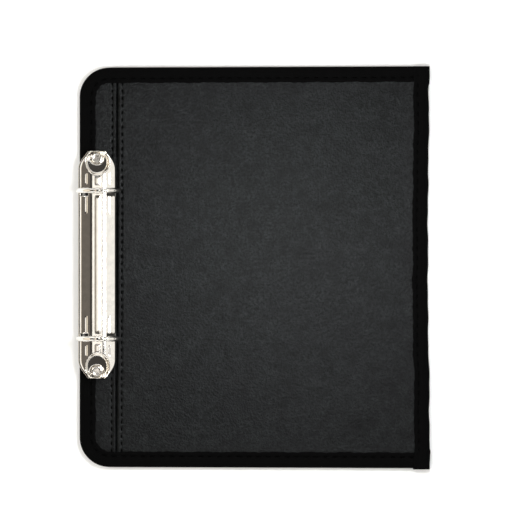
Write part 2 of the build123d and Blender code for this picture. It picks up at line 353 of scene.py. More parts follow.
def tape_material(settings):
    """Woven polyester grosgrain: a matte black ribbed weave that swallows light, with some lint."""
    made, tree = material("Woven polyester tape", Roughness=0.85, Specular_IOR_Level=0.04)
    place = node(tree, "ShaderNodeUVMap", out="UV", uv_map="Weave")
    # Weft ribs 0.6 mm and warp yarns 0.9 mm apart, coarser than real ones, so that they show
    ribs = node(
        tree, "ShaderNodeTexWave",
        {
            "Vector": place, "Scale": BANDS / (0.6 * MM), "Distortion": 0.6, "Detail": 2.0,
            "Detail Scale": 2.0,
        },
        out="Fac", wave_type="BANDS", bands_direction="X",
    )
    yarns = node(
        tree, "ShaderNodeTexWave",
        {"Vector": place, "Scale": BANDS / (0.9 * MM), "Distortion": 0.4},
        out="Fac", wave_type="BANDS", bands_direction="Y",
    )
    weave = node(tree, "ShaderNodeMath", {0: ribs, 1: yarns}, out="Value", operation="MULTIPLY")
    lint = node(
        tree, "ShaderNodeTexNoise",
        {"Vector": place, "Scale": 1 / (7 * MM), "Detail": 5.0, "Roughness": 0.7}, out="Fac",
    )
    base = settings.tape
    dusty = graded(tree, lint, base, shade(base, 1.9), 0.45, 0.8)
    bump = node(
        tree, "ShaderNodeBump", {"Height": weave, "Strength": 0.6, "Distance": 0.12 * MM},
        out="Normal",
    )
    # Painted shade: the weave's hollows, where ribs and yarns dip in the bump, are darkened to 0.6
    # of the colour
    return worked(made, Base_Color=graded(tree, weave, shade(base, 0.6), dusty), Normal=bump)


def thread_material(settings):
    """Twisted polyester thread: soft black, with painted highlight on its plies and painted shade
    between them.
    """
    made, tree = material("Polyester sewing thread", Roughness=0.7, Specular_IOR_Level=0.02)
    place = node(tree, "ShaderNodeTexCoord", out="Object")
    plies = node(
        tree, "ShaderNodeTexWave",
        {"Vector": place, "Scale": BANDS / (0.5 * MM), "Distortion": 1.0},
        out="Fac", wave_type="BANDS", bands_direction="DIAGONAL",
    )
    base = settings.thread_colour
    bump = node(
        tree, "ShaderNodeBump", {"Height": plies, "Strength": 0.5, "Distance": 0.08 * MM},
        out="Normal",
    )
    # Painted highlight on the plies' crests and painted shade between them, from 0.5 to 1.4 of the
    # colour
    ply_light = graded(tree, plies, shade(base, 0.5), shade(base, 1.4))
    return worked(made, Base_Color=ply_light, Normal=bump)


def board_material(settings):
    """Grey bookbinding board: pressed paper pulp, dull, with darker fibres."""
    made, tree = material("Bookbinding board", Roughness=0.9, IOR=1.5)
    place = node(tree, "ShaderNodeTexCoord", out="Object")
    pulp = node(
        tree, "ShaderNodeTexNoise",
        {"Vector": place, "Scale": 1 / (2.0 * MM), "Detail": 8.0, "Roughness": 0.7}, out="Fac",
    )
    base = settings.board
    bump = node(
        tree, "ShaderNodeBump", {"Height": pulp, "Strength": 0.4, "Distance": 0.1 * MM},
        out="Normal",
    )
    fibres = graded(tree, pulp, shade(base, 0.7), base, 0.3, 0.7)
    return worked(made, Base_Color=fibres, Normal=bump)


def nickel_material(name, settings, gloss, ripple):
    """Bright nickel plate on drawn steel: warm mirror, rippled by the press, dulled by handling."""
    made, tree = material(name, Metallic=1.0)
    place = node(tree, "ShaderNodeTexCoord", out="Object")
    haze = node(
        tree, "ShaderNodeTexNoise",
        {"Vector": place, "Scale": 1 / (4 * MM), "Detail": 6.0, "Roughness": 0.65}, out="Fac",
    )
    rough = node(
        tree, "ShaderNodeMapRange",
        {
            "Value": haze, "From Min": 0.3, "From Max": 0.75, "To Min": gloss,
            "To Max": gloss + 0.08,
        },
        out="Result",
    )
    waves = node(
        tree, "ShaderNodeTexNoise",
        {"Vector": place, "Scale": 1 / (3.5 * MM), "Detail": 2.0, "Roughness": 0.5}, out="Fac",
    )
    bump = node(
        tree, "ShaderNodeBump", {"Height": waves, "Strength": ripple, "Distance": 0.25 * MM},
        out="Normal",
    )
    base = settings.nickel
    plate = graded(tree, haze, base, shade(base, 0.86), 0.35, 0.75)
    return worked(made, Base_Color=plate, Roughness=rough, Normal=bump)


def steel_material(settings):
    """Cold-rolled steel left plain: grey, with rolling lines along its length."""
    made, tree = material("Cold-rolled steel", Metallic=1.0)
    place = node(tree, "ShaderNodeTexCoord", out="Object")
    along = node(
        tree, "ShaderNodeMapping", {"Vector": place, "Scale": (1.0, 0.02, 1.0)}, out="Vector"
    )
    lines = node(
        tree, "ShaderNodeTexNoise",
        {"Vector": along, "Scale": 1 / (0.3 * MM), "Detail": 3.0, "Roughness": 0.6}, out="Fac",
    )
    rough = node(
        tree, "ShaderNodeMapRange", {"Value": lines, "To Min": 0.28, "To Max": 0.5}, out="Result"
    )
    bump = node(
        tree, "ShaderNodeBump", {"Height": lines, "Strength": 0.2, "Distance": 0.05 * MM},
        out="Normal",
    )
    base = settings.steel
    rolled = graded(tree, lines, shade(base, 0.7), base)
    return worked(made, Base_Color=rolled, Roughness=rough, Normal=bump)


# Leatherette

SLANT = 0.0025  # how far the fold's middle line drifts across for each unit along it
TUCK = 1.3 * MM  # how far inside the bound edge the skins stop
FOLD_ZONE = 4.4 * MM  # half the width that is divided finely round the fold
ZONE_STEPS = (2.4 * MM, 0.22 * MM, 5.0 * MM)  # divisions of the strip, the fold and the cover
BACK_GROOVE = 0.55 * MM
SEWN_DIP, NEEDLE_DIP, DIP_WIDTH = 0.04 * MM, 0.45 * MM, 0.55 * MM
RIDGE, RIDGE_OFF, RIDGE_WIDTH = 0.12 * MM, 1.5 * MM, 0.6 * MM
CREASE_WIDTH = 0.5 * MM


def fold_relief(x, y, settings, depth):
    """Height of the skin above its flat level: a crease between soft ridges, and two sewn rows."""
    off = x - FOLD_X - SLANT * y
    side = abs(off)
    pressed = (0.5 - 0.5 * math.cos(TAU * y / settings.fold_pitch)) ** 1.5
    sewn = (SEWN_DIP + NEEDLE_DIP * pressed) * bell(side, settings.fold_row, DIP_WIDTH)
    ridge = RIDGE * bell(side, RIDGE_OFF, RIDGE_WIDTH)
    return ridge - depth * bell(off, 0, CREASE_WIDTH) - sewn


def drift(x, y):
    """Slow waviness of a skin glued over board, a few hundredths of a millimetre."""
    a = math.sin(x / (23 * MM) + 1.3) * math.sin(y / (31 * MM) + 0.4)
    b = math.sin(x / (11 * MM) + 0.6 * math.sin(y / (17 * MM)))
    return (0.05 * a + 0.02 * b) * MM


def skin_rows(settings, level, facing):
    """Rows of a skin that reaches under the tape, with the strip's outer corners rounded."""
    radius = settings.corner_radius - TUCK
    edge = HALF - TUCK
    depth = settings.groove_depth if facing > 0 else BACK_GROOVE
    near, far = FOLD_X - FOLD_ZONE, FOLD_X + FOLD_ZONE
    strip_step, fold_step, cover_step = ZONE_STEPS
    count = len(steps(LEFT + TUCK, near, strip_step)) - 1
    shared = steps(near, far, fold_step) + steps(far, RIGHT - TUCK, cover_step)[1:]
    rows = []
    for y in steps(-edge, edge, settings.fold_pitch / 6):
        over = max(0.0, abs(y) - (edge - radius))
        outer = LEFT + TUCK + radius - math.sqrt(max(0.0, radius**2 - over**2))
        row = []
        for x in [outer + (near - outer) * i / count for i in range(count)] + shared:
            outside = level + facing * (fold_relief(x, y, settings, depth) + drift(x, y))
            inside = outside - facing * SKIN * 0.9
            row.append((x, y, max(outside, inside), min(outside, inside)))
        rows.append(row)
    return rows


class BINDER_OT_leatherette(bpy.types.Operator):
    """Face and back skins, each one sheet from the ring strip across the fold to the fore edge"""

    bl_idname = "binder.leatherette"
    bl_label = "Leatherette skins"

    def execute(self, context):
        settings = context.scene.binder_leaf
        look = finish("leatherette", leatherette_material, settings)
        for side, level, facing in (("face", FACE_Z, 1), ("back", BACK_Z, -1)):
            name = f"{side}_leatherette"
            skin = piece(name, *slab(skin_rows(settings, level, facing)), "leatherette", look)
            nodes = [f"spine_{name}", f"cover_{name}"]
            nodes += ["fold_web_spine", "fold_web_cover"] if facing > 0 else []
            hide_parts(*nodes)
            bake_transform(skin)
        return {"FINISHED"}


# Binding tape, folded over the edge

END_SHORT = 0.9 * MM  # how far the long tape's ends stop short of the fore edge
CORNER_PULL = 0.25 * MM  # how far the long tape is pulled in round the strip
ENDS_OUT = (1.5 * MM, 0.9 * MM)  # how far the fore-edge tape runs past the tail and the head
# Stations across each leg of a tape, as shares of its width, closest together at the sewing
ACROSS = (1.0, 0.985, 0.94, 0.88, 0.82, 0.78, 0.74, 0.715, 0.69, 0.65, 0.6, 0.5, 0.4, 0.3, 0.2)
BEND = 1.5 * MM
CLEAR = 0.02 * MM
TAPE_TURN = math.pi / 12
LAYER, LAYER_WIDEN = 0.42 * MM, 0.3 * MM
PRESS = 0.22


def flare(x, settings):
    """The edge stands a little further out towards the fore edge, where the layers build up."""
    return settings.flare * ((x - LEFT) / (RIGHT - LEFT)) - CORNER_PULL


def measured(stations, settings):
    """Stations with the distance run along the edge and along the sewing line inside it."""
    inset = BAND - settings.tape_row
    run, sewn, out, last = 0.0, 0.0, [], None
    for x, y, nx, ny in stations:
        here = (x, y), (x + nx * inset, y + ny * inset)
        if last:
            run += math.dist(here[0], last[0])
            sewn += math.dist(here[1], last[1])
        last = here
        out.append((x, y, nx, ny, run, sewn))
    return out


def long_path(settings, step):
    """Outline that the long tape follows, from the fore edge along the tail, round the strip and
    back along the head, as (x, y, inward x, inward y, distance run, distance sewn)."""
    radius = settings.corner_radius
    turn_x, end_x = LEFT + radius, RIGHT - END_SHORT
    top = HALF + flare(LEFT, settings)
    turn_y = top - radius
    arc = steps(0, math.pi / 2, step / radius)[1:]
    stations = [(x, -(HALF + flare(x, settings)), 0.0, 1.0) for x in steps(end_x, turn_x, step)]
    for a in arc:
        c, s = math.sin(a), math.cos(a)
        stations.append((LEFT + radius * (1 - c), -(turn_y + radius * s), c, s))
    stations += [(LEFT, y, 1.0, 0.0) for y in steps(-turn_y, turn_y, step)[1:]]
    for a in arc:
        c, s = math.cos(a), math.sin(a)
        stations.append((LEFT + radius * (1 - c), turn_y + radius * s, c, -s))
    for x in steps(turn_x, end_x, step)[1:]:
        stations.append((x, HALF + flare(x, settings), 0.0, -1.0))
    return measured(stations, settings)


def fore_path(settings, step):
    """Outline of the fore-edge tape, a little wavy, bowed out over the long tape's ends."""
    stations = []
    for y in steps(-(HALF + ENDS_OUT[0]), HALF + ENDS_OUT[1], step):
        head = 0.55 * ease(y, 0.3 * HALF, 0.7 * HALF)
        tail = 0.85 * ease(-y, 0.2 * HALF, 0.65 * HALF)
        wave = 0.16 * math.sin(y / (5.5 * MM)) + 0.1 * math.sin(y / (2.3 * MM) + 1.0)
        stations.append((RIGHT + (0.25 + head + tail + wave) * MM, y, -1.0, 0.0))
    return measured(stations, settings)


def tape_section(settings, run=0.0, lift=0.0, spread=0.0, press=0.0):
    """Loop of (distance in, z) round a folded tape, at a distance along its sewing. Its legs swell
    between the sewing and the edge, and each needle hole pulls them down. lift and spread raise
    and widen it where it lies over another tape, and press flattens it where it lies under one."""
    wander = 0.16 * math.sin(run / (3.1 * MM)) + 0.14 * math.cos(TAU * run / settings.tape_pitch)
    needle = 0.5 - 0.5 * math.cos(TAU * run / settings.tape_pitch)
    row, inner = BAND - settings.tape_row, BAND + wander * MM

    def swell(d):
        share = (d - 0.5 * MM) / (row - 0.5 * MM)
        between = math.sin(math.pi * min(1.0, max(0.0, share)))
        pulled = (0.1 + 0.18 * needle) * MM * bell(d, row, 0.8 * MM)
        hem = 0.1 * MM * bell(d, inner, 0.5 * MM)
        return settings.tape_puff * between**0.7 * (0.8 + 0.2 * needle) - pulled - hem

    top, low = TOP_Z + lift, 0.3 * MM
    outer = [(inner * a, top + swell(inner * a)) for a in ACROSS]
    for a in steps(0, math.pi / 2, TAPE_TURN):
        outer.append((BEND * (1 - math.sin(a)) - spread, top - BEND * (1 - math.cos(a))))
    for a in steps(math.pi / 2, 0, TAPE_TURN):
        outer.append((BEND * (1 - math.sin(a)) - spread, BEND * (1 - math.cos(a)) + 0.1 * MM))
    outer += [(inner * a, max(CLEAR, low - swell(inner * a))) for a in reversed(ACROSS)]
    under, wall = settings.tape_thickness + CLEAR, settings.tape_thickness - spread
    inside = [(0.9 * BAND, under + low / 2), (2 * MM, under), (wall, 1.6 * MM)]
    inside += [(wall, top - 1.6 * MM), (2 * MM, top - under), (0.9 * BAND, top - under)]
    return [(d, z + (TOP_Z / 2 - z) * press) for d, z in outer + inside]


def tape_piece(name, path, settings, lift=None, press=None):
    """A tape swept along a path, with the weave's own coordinates in metres."""
    loops = []
    for x, y, nx, ny, run, sewn in path:
        raised = lift(y) if lift else 0.0
        pressed = press(x) if press else 0.0
        section = tape_section(settings, sewn, raised, min(raised, LAYER_WIDEN), pressed)
        loops.append([(x + nx * d, y + ny * d, z) for d, z in section])
    look = finish("tape", tape_material, settings)
    made = piece(name, *tube(loops), "binding_tape", look, sharp=60.0)
    sample, around = tape_section(settings), [0.0]
    for a, b in zip(sample, sample[1:]):
        around.append(around[-1] + math.dist(a, b))
    weave = made.data.uv_layers.new(name="Weave")
    for loop in made.data.loops:
        station, place = divmod(loop.vertex_index, len(around))
        weave.data[loop.index].uv = (path[station][4], around[place])
    return made


def overlap(y):
    """How far the fore-edge tape rises over the ends of the long tape."""
    return LAYER * ease(abs(y), HALF - BAND - 1.5 * MM, HALF - BAND + 0.5 * MM)


def pressed_end(x):
    """How much the long tape is flattened where it runs on under the fore-edge tape."""
    return PRESS * ease(x, FORE_X + 1.0 * MM, FORE_X + 2.4 * MM)


class BINDER_OT_binding(bpy.types.Operator):
    """Long tape round three edges and the fore-edge tape sewn over its ends"""

    bl_idname = "binder.binding"
    bl_label = "Binding tape"

    def execute(self, context):
        settings = context.scene.binder_leaf
        step = settings.tape_pitch / 8
        path = long_path(settings, step)
        tape = tape_piece("long_edge_tape", path, settings, press=pressed_end)
        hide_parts("spine_edge_binding", "cover_binding_head", "cover_binding_tail")
        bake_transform(tape)

        path = fore_path(settings, step)
        tape = tape_piece("fore_edge_tape", path, settings, lift=overlap)
        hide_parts("fore_edge_binding")
        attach(tape, "cover")
        return {"FINISHED"}


# Sewing


def stitch_tree():
    """Geometry Nodes that lay stitches at even steps along a route, each turned by chance."""
    tree = bpy.data.node_groups.new("Stitches along a route", "GeometryNodeTree")
    sockets = (
        ("Route", "INPUT", "NodeSocketGeometry", None),
        ("Pitch", "INPUT", "NodeSocketFloat", 3.6 * MM),
        ("Length", "INPUT", "NodeSocketFloat", 2.6 * MM),
        ("Thickness", "INPUT", "NodeSocketFloat", 0.4 * MM),
        ("Wander", "INPUT", "NodeSocketFloat", 0.08),
        ("Seed", "INPUT", "NodeSocketInt", 7),
        ("Material", "INPUT", "NodeSocketMaterial", None),
        ("Stitches", "OUTPUT", "NodeSocketGeometry", None),
    )
    for name, way, kind, value in sockets:
        socket = tree.interface.new_socket(name=name, in_out=way, socket_type=kind)
        if value is not None:
            socket.default_value = value
    given = node(tree, "NodeGroupInput").outputs
    pitch, long, thick, wander = (given[n] for n in ("Pitch", "Length", "Thickness", "Wander"))
    curve = node(tree, "GeometryNodeMeshToCurve", {"Mesh": given["Route"]}, out="Curve")
    spots = node(
        tree, "GeometryNodeResampleCurve", {"Curve": curve, "Length": pitch},
        out="Curve", mode="LENGTH",
    )
    ball = node(
        tree, "GeometryNodeMeshUVSphere", {"Segments": 8, "Rings": 6, "Radius": 0.5}, out="Mesh"
    )
    soft = node(tree, "GeometryNodeSetShadeSmooth", {"Geometry": ball}, out="Geometry")
    low = node(tree, "ShaderNodeMath", {0: wander, 1: -1.0}, out="Value", operation="MULTIPLY")
    chance = node(
        tree, "FunctionNodeRandomValue", {2: low, 3: wander, "Seed": given["Seed"]},
        out=1, data_type="FLOAT",
    )
    tangent = node(tree, "GeometryNodeInputTangent", out="Tangent")
    along = node(
        tree, "FunctionNodeAlignRotationToVector", {"Vector": tangent}, out="Rotation", axis="X"
    )
    ply_light = node(tree, "ShaderNodeCombineXYZ", {"Z": chance}, out="Vector")
    turned = node(
        tree, "FunctionNodeRotateRotation", {"Rotation": along, "Rotate By": ply_light},
        out="Rotation", rotation_space="LOCAL",
    )
    size = node(tree, "ShaderNodeCombineXYZ", {"X": long, "Y": thick, "Z": thick}, out="Vector")
    laid = node(
        tree, "GeometryNodeInstanceOnPoints",
        {"Points": spots, "Instance": soft, "Rotation": turned, "Scale": size}, out="Instances",
    )
    real = node(tree, "GeometryNodeRealizeInstances", {"Geometry": laid}, out="Geometry")
    done = node(
        tree, "GeometryNodeSetMaterial", {"Geometry": real, "Material": given["Material"]},
        out="Geometry",
    )
    node(tree, "NodeGroupOutput", {"Stitches": done})
    return tree


def sew(name, tree, routes, values):
    """One plain mesh of the stitches along some routes."""
    mesh = bpy.data.meshes.new(f"{name}_route")
    verts, edges = [], []
    for route in routes:
        edges += [(len(verts) + i, len(verts) + i + 1) for i in range(len(route) - 1)]
        verts += route
    mesh.from_pydata(verts, edges, [])
    line = bpy.data.objects.new(f"{name}_route", mesh)
    bpy.context.scene.collection.objects.link(line)
    modifier = line.modifiers.new("Stitches", "NODES")
    modifier.node_group = tree
    for socket in tree.interface.items_tree:
        if socket.in_out == "INPUT" and socket.name in values:
            modifier[socket.identifier] = values[socket.name]
    bpy.context.view_layer.update()
    laid = line.evaluated_get(bpy.context.evaluated_depsgraph_get())
    stitches = bpy.data.objects.new(name, bpy.data.meshes.new_from_object(laid))
    stitches.data.name = name
    bpy.context.scene.collection.objects.link(stitches)
    bpy.data.objects.remove(line)
    if not stitches.data.polygons:
        raise RuntimeError(f"{name} has no stitches")
    return stitches


def tape_routes(path, settings):
    """Lines of a tape's sewing on the face and on the back, in from the edge that it follows."""
    inset = BAND - settings.tape_row
    levels = (TOP_Z - 0.06 * MM, 0.32 * MM)
    return [[(x + nx * inset, y + ny * inset, z) for x, y, nx, ny, *_ in path] for z in levels]


def fold_routes(settings):
    """Straight lines of the two rows beside the fold, on the face and on the back."""
    pitch = settings.fold_pitch
    end = round((HALF - BAND - 1 * MM) / pitch) * pitch + pitch / 2
    routes = []
    for side in (-1, 1):
        x = FOLD_X + side * settings.fold_row
        for z in (FACE_Z - 0.3 * MM, BACK_Z + 0.1 * MM):
            routes.append([(x - SLANT * end, -end, z), (x + SLANT * end, end, z)])
    return routes


class BINDER_OT_sewing(bpy.types.Operator):
    """Two rows of sewing along the fold and one along each tape, on the face and on the back"""

    bl_idname = "binder.sewing"
    bl_label = "Sewing"

    def execute(self, context):
        settings = context.scene.binder_leaf
        look = finish("thread", thread_material, settings)
        tree = stitch_tree()
        pitch = settings.fold_pitch
        values = {"Thickness": settings.thread, "Material": look, "Wander": 0.07}
        values.update({"Pitch": pitch, "Length": 0.56 * pitch, "Seed": 11})
        fold = sew("fold_sewing", tree, fold_routes(settings), values)
        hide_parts("spine_fold_stitches", "cover_fold_stitches")
        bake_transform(fold)

        pitch = settings.tape_pitch
        step = pitch / 8
        values.update({"Pitch": pitch, "Length": 0.6 * pitch, "Seed": 23})
        path = [station for station in long_path(settings, step) if station[0] < FORE_X]
        around = sew("long_tape_sewing", tree, tape_routes(path, settings), values)
        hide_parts("spine_binding_stitches")
        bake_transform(around)

        path = fore_path(settings, step)[8:-8]
        fore = sew("fore_tape_sewing", tree, tape_routes(path, settings), values)
        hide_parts("cover_binding_stitches")
        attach(fore, "cover")
        return {"FINISHED"}


# Housing of the ring mechanism, worked in millimetres from the middle of its base

SEAT_X = MECH_X - 0.95 * MM  # middle line of the housing and its rivets
RING_X = MECH_X - 0.6 * MM  # middle line of the rings
HOUSING_X, HOUSING_Y = HOUSING_HALF_X / MM, HOUSING_HALF_Y / MM
RING_Y = abs(RING_YS["upper"] - MECH_Y) / MM
NOTCH_INNER, NOTCH_FLOOR = 5.0, 1.5  # a wire notch's inner side and its sill
NOTCH = (-2.8, 1.5)  # a notch's two ends, from the middle of its ring
FLANGES = (0.6, 0.08)  # width of the foot flange on the outer and the inboard side
LIP_ROUND = (0.7, 2.6)  # across and down, where a lip turns into the roof
TIP_HALF, TIP_TAPER = 4.9, 0.76
BEAD_HALF, BEAD_RISE = 1.15, 0.32
LONG_BEAD, SHORT_BEAD = 36.8, (45.4, 2.0)  # end of the long bead; middle and half of a short one
PADS = ((32.7, 4.6), (46.5, 2.8))  # middle and half length of each pad
PAD_INNER, PAD_OUTER = 5.75, 7.05
# A cup's rings as radius and height, and the oval of its mouth: half its width, and for each end
# how far inboard of the rivet its middle lies and half its length
CUP = ((2.5, 0.5), (3.6, 1.0), (3.8, 1.6), (4.4, 1.8), (9.0, 2.4))
CUP_HALF = 6.8
CUP_REACH = {"upper": (2.4, 7.1), "lower": (2.7, 7.5)}
CUP_WALL = (0.79, 1.8, 22.9)  # where the wall starts in the oval, its foot and its slope
CUP_EDGE = 0.8
END_DROP = 0.25
FEET = ((1.9, 0.0), (0.35, 0.0), (0.08, 0.1), (0.0, 0.3))


def half_width(y):
    """Half the housing's width at a distance along it, straight tapers to a narrow tip."""
    return smooth_min(HOUSING_X, TIP_HALF + max(0.0, HOUSING_Y - abs(y)) * TIP_TAPER, 2.4)


def roof(x, y, metal):
    """Height of the pressed sheet before the end cups are sunk."""
    off = abs(x)
    lip, inner, top = metal.lip / MM, metal.facet_in / MM, metal.facet_top / MM
    crown_half, crown = metal.crown_half / MM, metal.crown / MM
    slope = (top - lip) / (HOUSING_X - inner)
    facet = lip + (HOUSING_X - off) * slope
    step = top + (inner - off) * (crown - top) / (inner - crown_half)
    height = smooth_min(crown, smooth_max(facet, step, 0.25), 0.45)
    # Flat pads pressed into the facets
    pad_level = lip + (HOUSING_X - PAD_OUTER + 0.4) * slope
    for centre, half in PADS:
        along = ease(half - abs(abs(y) - centre), -0.25, 0.25)
        across = ease(off, PAD_INNER - 0.2, PAD_INNER + 0.2) * ease(PAD_OUTER - off, -0.2, 0.2)
        height += (pad_level - height) * along * across
    # Stiffening bead along the crown, stopped short of the rings, and a short one outside each
    runs = ease(LONG_BEAD - abs(y), -0.5, 0.5)
    runs += ease(SHORT_BEAD[1] - abs(abs(y) - SHORT_BEAD[0]), -0.4, 0.4)
    return height + BEAD_RISE * runs * ease(BEAD_HALF - off, -0.35, 0.35)


def bowl(x, y, end):
    """Height of an end cup's sheet: rings of low steps round the rivet, and a steep oval wall."""
    off = y - (RIVET_YS[end] - MECH_Y) / MM
    radius = math.hypot(x, off)
    floor = CUP[-1][1] if radius > CUP[-1][0] else CUP[0][1]
    for (r0, z0), (r1, z1) in zip(CUP, CUP[1:]):
        if r0 < radius <= r1:
            floor = z0 + (z1 - z0) * (radius - r0) / (r1 - r0)
    inboard, reach = CUP_REACH[end]
    inboard *= -1 if end == "upper" else 1
    start, foot, slope = CUP_WALL
    wall = foot + (math.hypot(x / CUP_HALF, (off - inboard) / reach) - start) * slope
    return smooth_max(floor, wall, 0.5)


def housing_height(x, y, metal):
    return smooth_min(roof(x, y, metal), bowl(x, y, "upper" if y > 0 else "lower"), CUP_EDGE)


def lip_outline(y, flange, metal):
    """Foot, flange and lip of one side as (distance from the middle, z), and the roof's edge."""
    across, down = LIP_ROUND
    wide = half_width(y)
    inner = wide - flange - 0.04 - across
    edge = housing_height(inner, y, metal)
    outline = [*FEET, (0.13 * flange, 0.5), (0.4 * flange, 0.58), (flange, 0.6)]
    for a in steps(0, math.pi / 2, 0.2)[:-1]:
        e, drop = across * (1 - math.cos(a)), down * (1 - math.sin(a))
        outline.append((flange + 0.04 + e, max(edge - drop, 0.65 + 0.1 * e)))
    return [(wide - e, z) for e, z in outline], inner


def housing_sheet(metal):
    """Outer skin of the housing as a grid, its lips turned down and its feet turned in."""
    near, far = RING_Y + NOTCH[0], RING_Y + NOTCH[1]
    half = steps(0, near, 0.7) + steps(near, far, 0.5)[1:]
    half += steps(far, HOUSING_Y - END_DROP, 0.24)[1:] + [HOUSING_Y]
    lines = [-y for y in reversed(half[1:])] + half
    reach = HOUSING_X - FLANGES[0] - LIP_ROUND[0]
    flat = steps(0, NOTCH_INNER, 0.22) + steps(NOTCH_INNER, reach, 0.24)[:-1]
    flat = sorted({round(x, 4) for x in flat})
    flat = [-x for x in reversed(flat[1:])] + flat
    verts = []
    for y in lines:
        left, left_inner = lip_outline(y, FLANGES[0], metal)
        right, right_inner = lip_outline(y, FLANGES[1], metal)
        row = [(-x, z) for x, z in left]
        for x in flat:
            across = x * (left_inner if x < 0 else right_inner) / reach
            row.append((across, housing_height(across, y, metal)))
        row += reversed(right)
        drop = END_DROP if abs(y) == HOUSING_Y else 0
        verts += [(x, y, z - (drop if z > 0.5 else 0)) for x, z in row]
    width = len(row)
    faces = []
    for face in grid(len(lines), width):
        x, y, z = (sum(verts[i][k] for i in face) / 4 for k in range(3))
        cut = NOTCH[0] < abs(y) - RING_Y < NOTCH[1] and abs(x) > NOTCH_INNER
        if not (cut and z > NOTCH_FLOOR):
            faces.append(face)
    # End walls down to the board
    for base in (0, (len(lines) - 1) * width):
        start = len(verts)
        verts += [(x, y, 0.0) for x, y, z in verts[base : base + width]]
        faces += [(base + j, base + j + 1, start + j + 1, start + j) for j in range(width - 1)]
    placed = [(SEAT_X + x * MM, MECH_Y + y * MM, BASE_Z + z * MM) for x, y, z in verts]
    return placed, faces


class BINDER_OT_housing(bpy.types.Operator):
    """Pressed and plated housing, one sheet with sunk end cups, pads, beads and wire notches"""

    bl_idname = "binder.housing"
    bl_label = "Ring housing"

    def execute(self, context):
        metal = context.scene.binder_metal
        name = "Bright nickel plate, pressed"
        look = finish("nickel_sheet", nickel_material, name, metal, 0.06, 0.1)
        sheet = housing_sheet(metal)
        housing = piece("nickel_housing", *sheet, "nickel_plate", look, sharp=50.0)
        shell = bmesh.new()
        shell.from_mesh(housing.data)
        bmesh.ops.remove_doubles(shell, verts=shell.verts, dist=0.01 * MM)
        bmesh.ops.dissolve_degenerate(shell, edges=shell.edges, dist=0.005 * MM)
        bmesh.ops.recalc_face_normals(shell, faces=shell.faces)
        crown = max(shell.faces, key=lambda f: f.calc_center_median().z)
        if crown.normal.z < 0:
            bmesh.ops.reverse_faces(shell, faces=shell.faces)
        shell.to_mesh(housing.data)
        shell.free()
        wall = housing.modifiers.new("Sheet thickness", "SOLIDIFY")
        wall.thickness = metal.sheet
        wall.offset = -1.0
        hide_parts("ring_housing")
        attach(housing, "spine")
        return {"FINISHED"}


# Rings and rivets

GAP = 0.05 * MM  # half the gap between two tips
TOOTH, TOOTH_REACH = 0.45 * MM, 1.6 * MM  # how far a tip's slanting face stands out and runs back
WIRE_SIDES = 24
WIRE_END = math.radians(137)  # where the wire ends, on its hinge plate
FINE_REACH = 4.0 * MM  # length of the finely divided tip


def wire_radius_at(run, radius):
    """Radius of the ring wire at a distance from its tip: a nose, a collar, a neck, plain wire."""
    mm = run / MM
    collar = 0.16 * ease(2.0 - mm, -0.2, 0.2)
    neck = 0.22 * bell(mm, 2.7, 0.45)
    nose = 0.5 * ease(0.45 - mm, -0.05, 0.45)
    return radius + (collar - neck - nose) * MM


def half_ring(side, y, metal):
    """Half a ring: wire bent round from its tip over the strip to its hinge plate."""
    wire = metal.wire
    centre = RING_X + side * GAP
    radius = MECH_X - RING_OUTER_X - GAP - wire
    low = RING_TOP - wire - radius
    near = steps(0, FINE_REACH / radius, 0.16 * MM / radius)
    far = steps(FINE_REACH / radius, WIRE_END, math.radians(2.2))[1:]
    loops = []
    for angle in near + far:
        run = angle * radius
        size = wire_radius_at(run, wire)
        loop = []
        for k in range(WIRE_SIDES):
            c, s = math.cos(TAU * k / WIRE_SIDES), math.sin(TAU * k / WIRE_SIDES)
            # The tip's face is a slanting tooth, and the other tip's mirrors it
            slant = TOOTH * c * ease(TOOTH_REACH - run, 0, TOOTH_REACH)
            a = angle + slant / radius * side
            out = radius + size * s
            loop.append((centre + side * out * math.sin(a), y + size * c, low + out * math.cos(a)))
        loops.append(loop)
    return tube(loops)


class BINDER_OT_rings(bpy.types.Operator):
    """Four half rings of plated wire, two on each hinge plate"""

    bl_idname = "binder.rings"
    bl_label = "Half rings"

    def execute(self, context):
        metal = context.scene.binder_metal
        name = "Bright nickel plate, wire"
        look = finish("nickel_wire", nickel_material, name, metal, 0.06, 0.05)
        for name, side in (("left", -1), ("right", 1)):
            for end, y in RING_YS.items():
                wire = half_ring(side, y, metal)
                ring = piece(f"ring_wire_{name}_{end}", *wire, "nickel_wire", look)
                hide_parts(f"half_ring_{name}_{end}")
                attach(ring, f"{name}_leaf")
        return {"FINISHED"}


def rivet_profile():
    """Tubular rivet from its hollow mouth in the cup down to its flat head, as (radius, z)."""
    floor = BASE_Z / MM + CUP[0][1]
    shape = [(0.02, 1.0), (0.3, 1.1), (1.4, 3.6), (1.5, floor + 0.3), (1.58, floor + 0.6)]
    for a in steps(math.radians(25), math.pi, 0.22):
        shape.append((2.25 - 0.7 * math.cos(a), floor + 0.52 + 0.42 * math.sin(a)))
    shape += [(2.92, floor + 0.2), (2.75, floor), (1.6, floor), (1.6, 0.42), (3.2, 0.42)]
    shape += [(3.38, 0.36), (3.45, 0.22), (3.3, 0.08), (3.0, 0.03), (0.02, 0.03)]
    return [(r * MM, z * MM) for r, z in shape]


class BINDER_OT_rivets(bpy.types.Operator):
    """Tubular rivets: a flat head on the back and a rolled rim in each end cup"""

    bl_idname = "binder.rivets"
    bl_label = "Rivets"

    def execute(self, context):
        metal = context.scene.binder_metal
        name = "Bright nickel plate, rivet"
        look = finish("nickel_rivet", nickel_material, name, metal, 0.1, 0.1)
        for end, y in RIVET_YS.items():
            turned = lathe(rivet_profile(), SEAT_X, y)
            rivet = piece(f"tubular_rivet_{end}", *turned, "nickel_rivet", look)
            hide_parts(f"rivet_{end}")
            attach(rivet, "spine")
        return {"FINISHED"}


